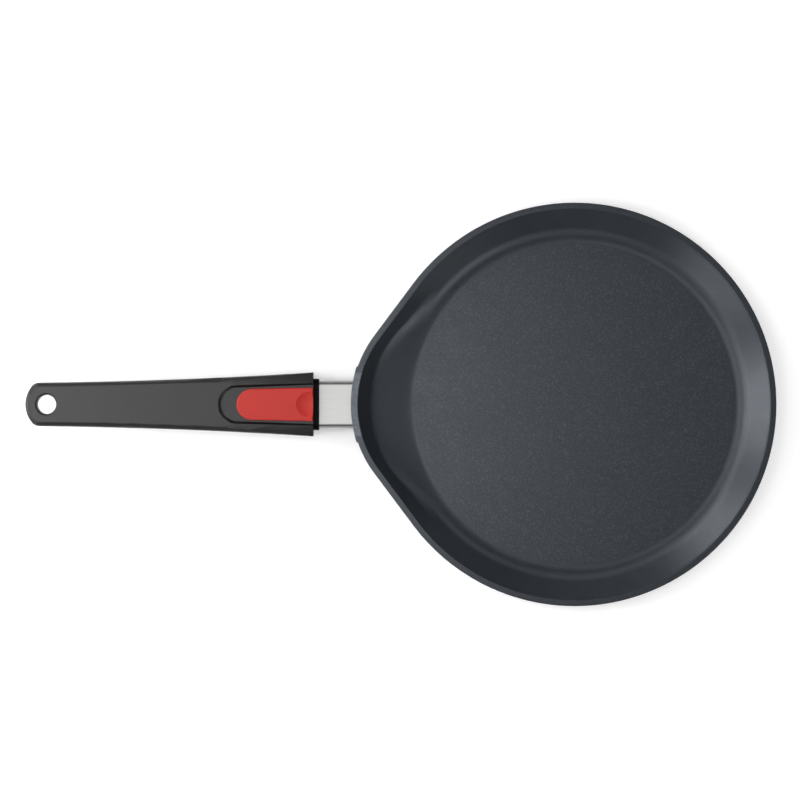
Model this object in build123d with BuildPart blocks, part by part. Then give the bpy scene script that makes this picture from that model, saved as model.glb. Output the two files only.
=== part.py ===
from build123d import *

import os
from math import acos, cos, pi, radians, sin, sqrt, tan

# A cast crepe pan: a round floor, a low wall that runs out into a flat nose, a steel
# neck at the nose, and a handle that slides off the neck when its red button is drawn
# back. Millimetres. The base stands on Z = 0, the centre of the round is X = Y = 0, and
# the handle points along -X. Every place along the handle is a distance from the centre.

os.makedirs("parts", exist_ok=True)

# Clearances that several pieces share
slide_gap = 0.3
seat_gap = 0.1
overrun = 2.0

# Pan casting
pan_diameter = 280.0
pan_height = 22.5
base_thickness = 6.4
rim_width = 4.65
rim_rounding = 0.8
wall_run = 23.35
wall_slope = 42.0
outer_wall_slope = 45.0
nose_length = 14.9
nose_tip_radius = 80.0
nose_ramp_share = 0.5
nose_ramp_easing = 1.6
floor_bulge = 0.5
floor_tip_share = 0.9
foot_steps = 4
wall_steps = 3
rim_steps = 2

# Turned pad under the base
pad_diameter = 212.0
pad_height = 1.2
pad_chamfer = 0.5
turned_groove_width = 1.6
turned_groove_depth = 0.3
turned_groove_shares = (0.42, 0.78)

# Cast boss at the nose, and the lug that stands out of it
boss_width = 53.0
boss_face_radius = 92.0
boss_height = 15.5
boss_root = 27.0
boss_proud = 0.3
boss_rounding = 2.5
lug_length = 17.0

# Folded steel sleeve round the lug
neck_height = 14.5
sleeve_width = 33.0
sleeve_height = 11.0
sleeve_wall = 1.0
sleeve_rounding = 2.4
pressed_line_inset = 2.2
pressed_line_width = 0.7
pressed_line_depth = 0.4

# Steel tongue that the handle slides onto
tongue_width = 22.0
tongue_thickness = 4.0
tongue_reach = 54.7
tongue_tip_chamfer = 1.2
window_length = 9.0
window_width = 14.0
window_strap = 7.0
tongue_seat = 4.2

# Countersunk screws that hold the sleeve and the tongue in the lug
tongue_screw_diameter = 4.0
tongue_screw_head = 7.0
tongue_screw_first = 4.6
tongue_screw_pitch = 7.4

# Handle moulding
neck_length = 26.1
grip_length = 199.4
grip_width = 44.4
grip_waist_width = 33.8
grip_tail_width = 30.2
grip_waist_share = 0.533
grip_height = 24.5
grip_rise = 15.0
grip_tail_height = 13.5
grip_tail_rounding = 6.8
grip_straight = 84.0
grip_tail_flat = 34.0
grip_top_rounding = 3.4
crown_length = 74.0
crown_drop = 3.0
crown_apex = 0.3
grip_bottom_rounding = 6.0

# Hanging hole
hanging_hole_diameter = 13.3
hanging_hole_inset = 14.9
hanging_hole_rounding = 1.5

# Collar in the mouth of the handle
collar_wall = 1.05
collar_lip = 4.0
collar_depth = 12.0
collar_back = 2.9
collar_rounding = 0.6

# Bed of the button, and the slot through its floor
bed_depth = 2.6
bed_floor = 2.6
bed_length = 66.2
bed_width = 30.8
bed_rear_width = 26.6
bed_rear_length = 12.0
bed_wall_run = 1.7
bed_rear_wall_run = 2.8
post_diameter = 7.0

# Button
button_length = 53.0
button_width = 23.2
button_rear_width = 21.6
button_proud = 0.6
button_rounding = 0.8
button_travel = 10.0
scoop_radius = 8.5
scoop_depth = 1.2
scoop_inset = 3.4
front_post_inset = 16.7
rear_post_inset = 36.7
button_screw_diameter = 3.0
button_screw_head = 5.6
button_screw_head_height = 1.5
button_screw_grip = 4.5

# Inside the handle: cavity, latch frame and catch leaf
cavity_width = 26.0
cavity_length = 68.7
frame_sheet = 1.2
frame_side_height = 9.5
frame_length = 46.4
shelf_length = 17.0
leaf_lift = 0.7
leaf_thickness = 0.8
leaf_width = 12.0
leaf_bend = 0.8
leaf_head_width = 20.0
leaf_head_length = 5.0
leaf_reach = 5.8
leaf_rise = 1.2
catch_engagement = 1.5
catch_gap = 0.4
rivet_diameter = 2.4
rivet_head = 4.2
rivet_head_height = 0.5
rivet_pitch = 6.0
frame_screw_diameter = 3.5
frame_screw_head = 6.6
frame_screw_head_height = 2.2
frame_screw_recess = 3.4
frame_screw_socket = 3.4
frame_screw_spacing = 17.0

# Slide under the button, its spring and the spring's guide
slide_width = 22.0
slide_thickness = 1.1
slide_length = 41.4
cheek_thickness = 1.2
cheek_spacing = 17.6
cheek_foot_gap = 0.5
cheek_foot_height = 0.9
cheek_ramp_run = 9.4
cheek_ramp_rise = 3.2
cheek_back = 3.0
slide_tab_width = 10.0
spring_diameter = 4.2
spring_wire = 0.6
spring_turns = 6
coil_steps_in_turn = 24
guide_diameter = 2.4
guide_seat = 6.0
guide_tip_gap = 3.0

# Places that follow from the sizes
pan_radius = pan_diameter / 2
inner_rim_radius = pan_radius - rim_width
floor_radius = inner_rim_radius - wall_run
nose_tip = pan_radius + nose_length
floor_tip = floor_radius + floor_bulge
boss_face = nose_tip + boss_proud
rim_shoulder = pan_height - rim_rounding

neck_top = neck_height + sleeve_height / 2
neck_bottom = neck_height - sleeve_height / 2
collar_front = boss_face + neck_length - collar_lip
grip_front = boss_face + neck_length
grip_tail = grip_front + grip_length
grip_top = neck_height + grip_rise
grip_bottom = grip_top - grip_height
collar_width = sleeve_width + 2 * (slide_gap + collar_wall)
collar_height = sleeve_height + 2 * (slide_gap + collar_wall)
collar_rear = grip_front + collar_depth
sleeve_end = collar_rear - collar_back - slide_gap
cavity_rear = collar_rear + cavity_length

tongue_tip = grip_front + tongue_reach
tongue_top = neck_height + tongue_thickness / 2
tongue_bottom = neck_height - tongue_thickness / 2
window_rear = tongue_tip - window_strap
window_front = window_rear - window_length

bed_level = grip_top - bed_depth
cavity_top = bed_level - bed_floor
cavity_bottom = tongue_bottom - slide_gap - frame_sheet
frame_front = collar_rear + slide_gap
frame_step = frame_front + frame_length
step_face = frame_step + slide_gap
leaf_bottom = tongue_top + leaf_lift
leaf_top = leaf_bottom + leaf_thickness
shelf_bottom = leaf_bottom - frame_sheet
shelf_rear = frame_step + shelf_length
shelf_middle = (step_face + shelf_rear) / 2
head_front = window_front - leaf_reach - leaf_head_length
slide_top = cavity_top - slide_gap
slide_bottom = slide_top - slide_thickness
slide_front = collar_rear + slide_gap
slide_rear = slide_front + slide_length
spring_height = (leaf_top + rivet_head_height + slide_bottom) / 2
button_bottom = bed_level + slide_gap
button_top = grip_top + button_proud
front_post = grip_front + front_post_inset
rear_post = grip_front + rear_post_inset
hanging_hole = grip_tail - hanging_hole_inset
tongue_screws_at = [
    boss_face + tongue_screw_first + tongue_screw_pitch * step for step in range(2)
]


def foot_radius(run, rise, slope):
    """Radius of the curve at a wall's foot, when the wall above it runs straight at a slope."""
    return (run - rise / tan(slope)) / tan(slope / 2)


def round_run_at(height, run, rise, slope):
    """How far a wall has run out at a height, up the curve of its foot and then straight."""
    radius = foot_radius(run, rise, slope)
    if height > radius * (1 - cos(slope)):
        return run - (rise - height) / tan(slope)
    return sqrt(radius**2 - (radius - height) ** 2)


def ramp_share_at(height, rise):
    """Share of the nose's ramp that lies below a height, easing into the wall above it."""
    left = max(0, 1 - height / (nose_ramp_share * rise))
    return 1 - left**nose_ramp_easing


def teardrop(radius, tip, tip_radius):
    """A round with a nose of smaller radius, joined to it by two tangents."""
    centre = tip - tip_radius
    lean = acos((radius - tip_radius) / centre)
    along = cos(lean)
    across = sin(lean)
    with BuildSketch() as outline:
        with BuildLine():
            for side in (-1, 1):
                ThreePointArc(
                    (-radius * along, side * radius * across),
                    (radius * sin(lean / 2), side * radius * cos(lean / 2)),
                    (radius, 0),
                )
            Line(
                (-radius * along, radius * across),
                (-centre - tip_radius * along, tip_radius * across),
            )
            ThreePointArc(
                (-centre - tip_radius * along, tip_radius * across),
                (-tip, 0),
                (-centre - tip_radius * along, -tip_radius * across),
            )
            Line(
                (-centre - tip_radius * along, -tip_radius * across),
                (-radius * along, -radius * across),
            )
        make_face()
    return outline.sketch


def wall_sections(foot, rim_offset, slope_in_degrees):
    """Level and outline of each section of a wall, from its foot up to the rim's shoulder."""
    slope = radians(slope_in_degrees)
    rise = rim_shoulder - foot
    round_run = pan_radius - rim_offset - floor_radius
    nose_run = nose_tip - rim_offset - floor_tip
    foot_tip_radius = floor_radius * floor_tip_share
    rim_tip_radius = nose_tip_radius - rim_offset
    bend = foot_radius(round_run, rise, slope)
    bend_rise = bend * (1 - cos(slope))
    heights = [bend * (1 - cos(slope * step / foot_steps)) for step in range(foot_steps)]
    heights += [
        bend_rise + (rise - bend_rise) * step / wall_steps for step in range(wall_steps + 1)
    ]
    for height in heights:
        round_out = round_run_at(height, round_run, rise, slope)
        nose_out = round_out + (nose_run - round_run) * ramp_share_at(height, rise)
        tip_radius = foot_tip_radius + (rim_tip_radius - foot_tip_radius) * nose_out / nose_run
        yield foot + height, teardrop(floor_radius + round_out, floor_tip + nose_out, tip_radius)


def rim_sections(rim_offset, side):
    """Level and outline of each section of a rim edge's rounding, outer (1) or inner (-1)."""
    for step in range(rim_steps + 1):
        angle = pi / 2 * step / rim_steps
        inset = rim_offset + side * rim_rounding * (1 - cos(angle))
        level = rim_shoulder + rim_rounding * sin(angle)
        yield level, teardrop(pan_radius - inset, nose_tip - inset, nose_tip_radius - inset)


# Boss at the nose, a block with a curved face that the shell is cast round
with BuildPart() as nose_boss:
    with BuildSketch(Plane.XY.offset(pan_height - boss_height)):
        with Locations((boss_face_radius - boss_face, 0)):
            Circle(boss_face_radius)
        with Locations((-boss_face, 0)):
            Rectangle(2 * boss_root, boss_width, mode=Mode.INTERSECT)
    extrude(amount=boss_height)
    fillet(nose_boss.edges().filter_by(Axis.Z).group_by(Axis.X)[0], boss_rounding)
    fillet(nose_boss.faces().sort_by(Axis.Z)[0].edges(), boss_rounding)
    fillet(nose_boss.faces().sort_by(Axis.Z)[-1].edges(), rim_rounding)

# Pan body: shell, turned pad, boss and lug in one casting, hollowed by the cooking space
with BuildPart() as pan_body:
    for level, outline in wall_sections(pad_height, 0, outer_wall_slope):
        with BuildSketch(Plane.XY.offset(level)):
            add(outline)
    loft(ruled=True)
    for level, outline in rim_sections(0, 1):
        with BuildSketch(Plane.XY.offset(level)):
            add(outline)
    loft(ruled=True)

    with BuildSketch(Plane.XY):
        Circle(pad_diameter / 2)
    extrude(amount=pad_height)
    chamfer(pan_body.faces().sort_by(Axis.Z)[0].edges(), pad_chamfer)

    add(nose_boss.part)

    for level, outline in wall_sections(base_thickness, rim_width, wall_slope):
        with BuildSketch(Plane.XY.offset(level)):
            add(outline)
    loft(ruled=True, mode=Mode.SUBTRACT)
    for level, outline in rim_sections(rim_width, -1):
        with BuildSketch(Plane.XY.offset(level)):
            add(outline)
    loft(ruled=True, mode=Mode.SUBTRACT)

    lug_width = sleeve_width - 2 * (sleeve_wall + seat_gap)
    lug_height = sleeve_height - 2 * (sleeve_wall + seat_gap)
    with BuildSketch(Plane.YZ.offset(-boss_face - lug_length)):
        with Locations((0, neck_height)):
            RectangleRounded(lug_width, lug_height, sleeve_rounding - sleeve_wall)
    extrude(amount=lug_length + tongue_seat)

    with BuildSketch(Plane.YZ.offset(-boss_face - lug_length - overrun)):
        with Locations((0, neck_height)):
            Rectangle(tongue_width + 2 * seat_gap, tongue_thickness + 2 * seat_gap)
    extrude(amount=lug_length + overrun + tongue_seat - seat_gap, mode=Mode.SUBTRACT)

    with BuildSketch(Plane.XY.offset(neck_bottom)):
        with Locations([(-place, 0) for place in tongue_screws_at]):
            Circle(tongue_screw_diameter / 2 + seat_gap)
    extrude(amount=sleeve_height / 2, mode=Mode.SUBTRACT)

    with BuildSketch(Plane.XY):
        for share in turned_groove_shares:
            ring = share * pad_diameter / 2
            Circle(ring + turned_groove_width / 2)
            Circle(ring - turned_groove_width / 2, mode=Mode.SUBTRACT)
    extrude(amount=turned_groove_depth, mode=Mode.SUBTRACT)
pan_body.part.label = "pan_body"
export_step(pan_body.part, "parts/pan_body.step")

# Neck sleeve: a folded tube of steel sheet, its inner end cut to the face of the boss
with BuildPart() as neck_sleeve:
    with BuildSketch(Plane.YZ.offset(-sleeve_end)):
        with Locations((0, neck_height)):
            RectangleRounded(sleeve_width, sleeve_height, sleeve_rounding)
            Rectangle(
                sleeve_width - 2 * sleeve_wall,
                sleeve_height - 2 * sleeve_wall,
                mode=Mode.SUBTRACT,
            )
    extrude(amount=sleeve_end - boss_face + overrun + boss_rounding)

    line_place = sleeve_width / 2 - pressed_line_inset
    with BuildSketch(Plane.YZ.offset(-sleeve_end)):
        with Locations(
            (-line_place, neck_top),
            (line_place, neck_top),
            (-line_place, neck_bottom),
            (line_place, neck_bottom),
        ):
            Rectangle(pressed_line_width, 2 * pressed_line_depth)
    extrude(amount=sleeve_end, mode=Mode.SUBTRACT)

    with BuildSketch(Plane.XY):
        with Locations((boss_face_radius - boss_face, 0)):
            Circle(boss_face_radius + seat_gap)
    extrude(amount=pan_height, mode=Mode.SUBTRACT)

    with Locations([(-place, 0, neck_bottom) for place in tongue_screws_at]):
        Cone(
            tongue_screw_head / 2 + seat_gap,
            tongue_screw_diameter / 2 + seat_gap,
            sleeve_wall,
            align=(Align.CENTER, Align.CENTER, Align.MIN),
            mode=Mode.SUBTRACT,
        )
neck_sleeve.part.label = "neck_sleeve"
export_step(neck_sleeve.part, "parts/neck_sleeve.step")

# Tongue: a flat steel bar from the lug into the handle, with the window for the catch
with BuildPart() as tongue:
    with BuildSketch(Plane.YZ.offset(-tongue_tip)):
        with Locations((0, neck_height)):
            Rectangle(tongue_width, tongue_thickness)
    extrude(amount=tongue_tip - boss_face + tongue_seat - 2 * seat_gap)
    chamfer(tongue.faces().sort_by(Axis.X)[0].edges(), tongue_tip_chamfer)

    with BuildSketch(Plane.XY.offset(tongue_bottom)):
        with Locations(((-window_front - window_rear) / 2, 0)):
            Rectangle(window_length, window_width)
    extrude(amount=tongue_thickness, mode=Mode.SUBTRACT)

    with BuildSketch(Plane.XY.offset(tongue_bottom)):
        with Locations([(-place, 0) for place in tongue_screws_at]):
            Circle(tongue_screw_diameter / 2)
    extrude(amount=tongue_thickness, mode=Mode.SUBTRACT)
tongue.part.label = "tongue"
export_step(tongue.part, "parts/tongue.step")

# Tongue screws: countersunk, from below through the sleeve and the lug into the tongue
with BuildPart() as tongue_screws:
    with BuildSketch(Plane.XY.offset(neck_bottom)):
        with Locations([(-place, 0) for place in tongue_screws_at]):
            Circle(tongue_screw_diameter / 2)
    extrude(amount=tongue_top - neck_bottom)
    with Locations([(-place, 0, neck_bottom) for place in tongue_screws_at]):
        Cone(
            tongue_screw_head / 2,
            tongue_screw_diameter / 2,
            sleeve_wall,
            align=(Align.CENTER, Align.CENTER, Align.MIN),
        )
tongue_screws.part.label = "tongue_screws"
export_step(tongue_screws.part, "parts/tongue_screws.step")

# Handle grip: one moulding, waisted in plan, thick over the latch and thin at the tail
with BuildPart() as handle_grip:
    tail_flank = grip_tail - grip_tail_rounding
    waist = grip_front + grip_waist_share * grip_length
    with BuildSketch(Plane.XY.offset(grip_bottom)):
        with BuildLine():
            upper = ThreePointArc(
                (-grip_front, grip_width / 2),
                (-waist, grip_waist_width / 2),
                (-tail_flank, grip_tail_width / 2),
            )
            lower = ThreePointArc(
                (-grip_front, -grip_width / 2),
                (-waist, -grip_waist_width / 2),
                (-tail_flank, -grip_tail_width / 2),
            )
            ThreePointArc(upper @ 1, (-grip_tail, 0), lower @ 1)
            Line(upper @ 0, lower @ 0)
        make_face()
        tail_corners = vertices().group_by(Axis.X)[0]
        fillet(tail_corners, grip_tail_rounding)
    extrude(amount=grip_height)

    with BuildSketch(Plane.XZ):
        tail_bottom = grip_top - grip_tail_height
        belly_start = (-grip_front - grip_straight, grip_bottom)
        belly_end = (-grip_tail + grip_tail_flat, tail_bottom)
        belly_middle = (
            (belly_start[0] + belly_end[0]) / 2,
            (grip_bottom + tail_bottom) / 2,
        )
        with BuildLine():
            Line((-grip_front, grip_bottom), belly_start)
            TangentArc(belly_start, belly_middle, tangent=(-1, 0))
            TangentArc(belly_end, belly_middle, tangent=(1, 0))
            Polyline(
                belly_end,
                (-grip_tail - overrun, tail_bottom),
                (-grip_tail - overrun, grip_top),
                (-grip_front, grip_top),
                (-grip_front, grip_bottom),
            )
        make_face()
    extrude(amount=grip_width, both=True, mode=Mode.INTERSECT)

    top_edges = handle_grip.faces().sort_by(Axis.Z)[-1].edges().filter_by(Axis.Y, reverse=True)
    fillet(top_edges, grip_top_rounding)
    belly_edges = handle_grip.edges().filter_by(
        lambda edge: edge.center().Z < tail_bottom + seat_gap
    )
    belly_edges = belly_edges.filter_by(Axis.Y, reverse=True).filter_by(Axis.Z, reverse=True)
    fillet(belly_edges, grip_bottom_rounding)

    crown_half = grip_width / 2 + overrun
    for place, drop in ((grip_front - overrun, crown_drop), (grip_front + crown_length, 0)):
        with BuildSketch(Plane.YZ.offset(-place)):
            with BuildLine():
                ThreePointArc(
                    (-crown_half, grip_top - drop),
                    (0, grip_top + crown_apex),
                    (crown_half, grip_top - drop),
                )
                Polyline(
                    (crown_half, grip_top - drop),
                    (crown_half, grip_top + overrun),
                    (-crown_half, grip_top + overrun),
                    (-crown_half, grip_top - drop),
                )
            make_face()
    loft(ruled=True, mode=Mode.SUBTRACT)

    with BuildSketch(Plane.XY.offset(grip_bottom)):
        with Locations((-hanging_hole, 0)):
            Circle(hanging_hole_diameter / 2)
    extrude(amount=grip_height, mode=Mode.SUBTRACT)
    hole_edges = handle_grip.edges().filter_by(GeomType.CIRCLE).filter_by(
        lambda edge: abs(edge.radius - hanging_hole_diameter / 2) < seat_gap
    )
    fillet(hole_edges, hanging_hole_rounding)

    bed_shoulder = grip_front + bed_length - bed_rear_length
    bed_open = grip_front - overrun
    bed_sections = ((grip_top, 0, 0), (bed_level, bed_wall_run, bed_rear_wall_run))
    for level, side_inset, rear_inset in bed_sections:
        rear_half = bed_rear_width / 2 - side_inset
        front_half = bed_width / 2 - side_inset
        with BuildSketch(Plane.XY.offset(level)):
            with BuildLine():
                Polyline(
                    (-bed_shoulder, rear_half),
                    (-bed_open, front_half),
                    (-bed_open, -front_half),
                    (-bed_shoulder, -rear_half),
                )
                ThreePointArc(
                    (-bed_shoulder, -rear_half),
                    (-grip_front - bed_length + rear_inset, 0),
                    (-bed_shoulder, rear_half),
                )
            make_face()
    loft(ruled=True, mode=Mode.SUBTRACT)

    with BuildSketch(Plane.YZ.offset(-grip_front + overrun)):
        with Locations((0, neck_height)):
            RectangleRounded(
                collar_width + 2 * seat_gap,
                collar_height + 2 * seat_gap,
                sleeve_rounding + collar_wall,
            )
    extrude(amount=-overrun - collar_depth, mode=Mode.SUBTRACT)

    with BuildSketch(Plane.XZ):
        with BuildLine():
            Polyline(
                (-collar_rear + overrun, cavity_bottom),
                (-step_face, cavity_bottom),
                (-step_face, shelf_bottom),
                (-cavity_rear, shelf_bottom),
                (-cavity_rear, cavity_top),
                (-collar_rear, cavity_top),
                (-collar_rear, neck_top),
                (-collar_rear + overrun, neck_top),
                close=True,
            )
        make_face()
    extrude(amount=cavity_width / 2, both=True, mode=Mode.SUBTRACT)

    slot_front = front_post - post_diameter / 2 - slide_gap
    slot_rear = rear_post + post_diameter / 2 + button_travel + slide_gap
    slot_width = post_diameter + 2 * slide_gap
    with BuildSketch(Plane.XY.offset(bed_level)):
        with Locations(((-slot_front - slot_rear) / 2, 0)):
            SlotOverall(slot_rear - slot_front, slot_width)
    extrude(amount=-bed_floor, mode=Mode.SUBTRACT)

    frame_screw_places = [
        (-shelf_middle, side * frame_screw_spacing / 2) for side in (-1, 1)
    ]
    with BuildSketch(Plane.XY.offset(grip_bottom - overrun)):
        with Locations(frame_screw_places):
            Circle(frame_screw_diameter / 2 + seat_gap)
    extrude(amount=shelf_bottom - grip_bottom + overrun, mode=Mode.SUBTRACT)
    with BuildSketch(Plane.XY.offset(grip_bottom - overrun)):
        with Locations(frame_screw_places):
            Circle(frame_screw_head / 2 + seat_gap)
    extrude(amount=frame_screw_recess + overrun, mode=Mode.SUBTRACT)

    with BuildSketch(Plane.YZ.offset(-cavity_rear)):
        with Locations((0, spring_height)):
            Circle(guide_diameter / 2)
    extrude(amount=-guide_seat, mode=Mode.SUBTRACT)
handle_grip.part.label = "handle_grip"
export_step(handle_grip.part, "parts/handle_grip.step")

# Collar: a lining pressed into the handle's mouth, with a lip that stands out of it
with BuildPart() as handle_collar:
    with BuildSketch(Plane.YZ.offset(-collar_rear)):
        with Locations((0, neck_height)):
            RectangleRounded(collar_width, collar_height, sleeve_rounding + collar_wall)
    extrude(amount=collar_rear - collar_front)
    fillet(handle_collar.faces().sort_by(Axis.X)[-1].edges(), collar_rounding)
    with BuildSketch(Plane.YZ.offset(-collar_rear + collar_back)):
        with Locations((0, neck_height)):
            RectangleRounded(
                sleeve_width + 2 * slide_gap, sleeve_height + 2 * slide_gap, sleeve_rounding
            )
    extrude(amount=collar_rear - collar_front, mode=Mode.SUBTRACT)
    with BuildSketch(Plane.YZ.offset(-collar_rear)):
        with Locations((0, neck_height)):
            Rectangle(tongue_width + 2 * slide_gap, tongue_thickness + 2 * slide_gap)
    extrude(amount=collar_back, mode=Mode.SUBTRACT)
handle_collar.part.label = "handle_collar"
export_step(handle_collar.part, "parts/handle_collar.step")

# Latch frame: a steel channel that guides the tongue, stepped up to a shelf at its rear
with BuildPart() as latch_frame:
    inner_width = tongue_width + 2 * slide_gap
    outer_width = inner_width + 2 * frame_sheet
    with BuildSketch(Plane.XZ):
        with BuildLine():
            Polyline(
                (-frame_front, cavity_bottom),
                (-frame_step, cavity_bottom),
                (-frame_step, shelf_bottom),
                (-shelf_rear, shelf_bottom),
                (-shelf_rear, leaf_bottom),
                (-frame_step + frame_sheet, leaf_bottom),
                (-frame_step + frame_sheet, cavity_bottom + frame_sheet),
                (-frame_front, cavity_bottom + frame_sheet),
                close=True,
            )
        make_face()
    extrude(amount=outer_width / 2, both=True)
    with BuildSketch(Plane.XY.offset(cavity_bottom)):
        with Locations(
            ((-frame_front - frame_step) / 2, (outer_width - frame_sheet) / 2),
            ((-frame_front - frame_step) / 2, (frame_sheet - outer_width) / 2),
        ):
            Rectangle(frame_step - frame_front, frame_sheet)
    extrude(amount=frame_side_height)
    with BuildSketch(Plane.XY.offset(shelf_bottom)):
        with Locations(frame_screw_places):
            Circle(frame_screw_diameter / 2)
    extrude(amount=frame_sheet, mode=Mode.SUBTRACT)
    rivet_places = [
        (-shelf_middle + (step - 1 / 2) * rivet_pitch, 0) for step in range(2)
    ]
    with BuildSketch(Plane.XY.offset(shelf_bottom)):
        with Locations(rivet_places):
            Circle(rivet_diameter / 2)
    extrude(amount=frame_sheet, mode=Mode.SUBTRACT)
latch_frame.part.label = "latch_frame"
export_step(latch_frame.part, "parts/latch_frame.step")

# Catch leaf: a spring strip riveted to the shelf, bent down into the tongue's window
with BuildPart() as catch_leaf:
    leaf_middle = leaf_bottom + leaf_thickness / 2
    catch_low = tongue_top - catch_engagement + leaf_thickness / 2
    catch_back = window_rear - catch_gap - leaf_thickness / 2
    head_level = leaf_middle + leaf_rise
    with BuildSketch(Plane.XZ):
        with BuildLine():
            FilletPolyline(
                (-shelf_rear, leaf_middle),
                (-catch_back, leaf_middle),
                (-catch_back, catch_low),
                (-head_front - leaf_head_length, head_level),
                (-head_front, head_level),
                radius=leaf_bend,
            )
        trace(line_width=leaf_thickness)
    extrude(amount=leaf_width / 2, both=True)
    with BuildSketch(Plane.XY.offset(head_level - leaf_thickness / 2)):
        with Locations((-head_front - leaf_head_length / 2, 0)):
            RectangleRounded(leaf_head_length, leaf_head_width, leaf_bend)
    extrude(amount=leaf_thickness)
    with BuildSketch(Plane.XY.offset(leaf_bottom)):
        with Locations(rivet_places):
            Circle(rivet_diameter / 2)
    extrude(amount=leaf_thickness, mode=Mode.SUBTRACT)
catch_leaf.part.label = "catch_leaf"
export_step(catch_leaf.part, "parts/catch_leaf.step")

# Leaf rivets: two flat-headed rivets through the leaf and the shelf
with BuildPart() as leaf_rivets:
    with BuildSketch(Plane.XY.offset(shelf_bottom)):
        with Locations(rivet_places):
            Circle(rivet_diameter / 2)
    extrude(amount=leaf_top - shelf_bottom)
    with BuildSketch(Plane.XY.offset(leaf_top)):
        with Locations(rivet_places):
            Circle(rivet_head / 2)
    extrude(amount=rivet_head_height)
leaf_rivets.part.label = "leaf_rivets"
export_step(leaf_rivets.part, "parts/leaf_rivets.step")

# Frame screws: two cap screws from the underside, threaded into the shelf
with BuildPart() as frame_screws:
    head_seat = grip_bottom + frame_screw_recess
    with BuildSketch(Plane.XY.offset(head_seat - frame_screw_head_height)):
        with Locations(frame_screw_places):
            Circle(frame_screw_head / 2)
    extrude(amount=frame_screw_head_height)
    with BuildSketch(Plane.XY.offset(head_seat)):
        with Locations(frame_screw_places):
            Circle(frame_screw_diameter / 2)
    extrude(amount=leaf_bottom - head_seat)
    with BuildSketch(Plane.XY.offset(head_seat - frame_screw_head_height)):
        with Locations(frame_screw_places):
            RegularPolygon(frame_screw_socket / 2, 6)
    extrude(amount=frame_screw_head_height / 2, mode=Mode.SUBTRACT)
frame_screws.part.label = "frame_screws"
export_step(frame_screws.part, "parts/frame_screws.step")

# Release button: a flat slider with a round rear end, a thumb scoop and two posts
with BuildPart() as release_button:
    with BuildSketch(Plane.XY.offset(button_bottom)):
        with BuildLine():
            button_shoulder = grip_front + button_length - button_rear_width / 2
            Polyline(
                (-button_shoulder, button_rear_width / 2),
                (-grip_front, button_width / 2),
                (-grip_front, -button_width / 2),
                (-button_shoulder, -button_rear_width / 2),
            )
            ThreePointArc(
                (-button_shoulder, -button_rear_width / 2),
                (-grip_front - button_length, 0),
                (-button_shoulder, button_rear_width / 2),
            )
        make_face()
    extrude(amount=button_top - button_bottom)
    top_edges = release_button.faces().sort_by(Axis.Z)[-1].edges()
    fillet(top_edges, button_rounding)

    scoop_ball = (scoop_radius**2 + scoop_depth**2) / (2 * scoop_depth)
    with Locations((-grip_front - scoop_inset, 0, button_top - scoop_depth + scoop_ball)):
        Sphere(scoop_ball, rotation=(90, 0, 0), mode=Mode.SUBTRACT)

    post_places = [(-front_post, 0), (-rear_post, 0)]
    with BuildSketch(Plane.XY.offset(slide_top)):
        with Locations(post_places):
            Circle(post_diameter / 2)
    extrude(amount=button_bottom - slide_top)
    with BuildSketch(Plane.XY.offset(slide_top)):
        with Locations(post_places):
            Circle(button_screw_diameter / 2)
    extrude(amount=button_screw_grip, mode=Mode.SUBTRACT)
release_button.part.label = "release_button"
export_step(release_button.part, "parts/release_button.step")

# Button slide: a plate under the roof, two ramps that lift the leaf, a tab for the spring
with BuildPart() as button_slide:
    with BuildSketch(Plane.XY.offset(slide_bottom)):
        with Locations(((-slide_front - slide_rear) / 2, 0)):
            Rectangle(slide_length, slide_width)
        with Locations(post_places):
            Circle(button_screw_diameter / 2 + seat_gap, mode=Mode.SUBTRACT)
    extrude(amount=slide_thickness)

    foot = tongue_top + cheek_foot_gap
    ramp_tip = head_front - slide_gap
    ramp_back = ramp_tip - cheek_ramp_run
    for side in (-1, 1):
        cheek_face = side * (cheek_spacing + cheek_thickness) / 2
        with BuildSketch(Plane.XZ.offset(-cheek_face)):
            with BuildLine():
                Polyline(
                    (-ramp_tip, foot),
                    (-ramp_tip, foot + cheek_foot_height),
                    (-ramp_back, foot + cheek_foot_height + cheek_ramp_rise),
                    (-ramp_back, slide_bottom),
                    (-ramp_back + cheek_back, slide_bottom),
                    (-ramp_back + cheek_back, foot),
                    close=True,
                )
            make_face()
        extrude(amount=cheek_thickness / 2, both=True)

    with BuildSketch(Plane.YZ.offset(-slide_rear)):
        with Locations((0, (leaf_top + rivet_head_height + slide_gap + slide_top) / 2)):
            Rectangle(slide_tab_width, slide_top - leaf_top - rivet_head_height - slide_gap)
        with Locations((0, spring_height)):
            Circle(guide_diameter / 2 + slide_gap, mode=Mode.SUBTRACT)
    extrude(amount=slide_thickness)
button_slide.part.label = "button_slide"
export_step(button_slide.part, "parts/button_slide.step")

# Button screws: two pan-headed screws up through the slide into the button's posts
with BuildPart() as button_screws:
    with BuildSketch(Plane.XY.offset(slide_bottom - button_screw_head_height)):
        with Locations(post_places):
            Circle(button_screw_head / 2)
    extrude(amount=button_screw_head_height)
    with BuildSketch(Plane.XY.offset(slide_bottom)):
        with Locations(post_places):
            Circle(button_screw_diameter / 2)
    extrude(amount=slide_thickness + button_screw_grip)
button_screws.part.label = "button_screws"
export_step(button_screws.part, "parts/button_screws.step")

# Spring guide: a rod seated in the rear wall of the cavity
with BuildPart() as spring_guide:
    guide_tip = slide_rear - guide_tip_gap
    with BuildSketch(Plane.YZ.offset(-cavity_rear - guide_seat)):
        with Locations((0, spring_height)):
            Circle(guide_diameter / 2)
    extrude(amount=cavity_rear + guide_seat - guide_tip)
spring_guide.part.label = "spring_guide"
export_step(spring_guide.part, "parts/spring_guide.step")

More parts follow.
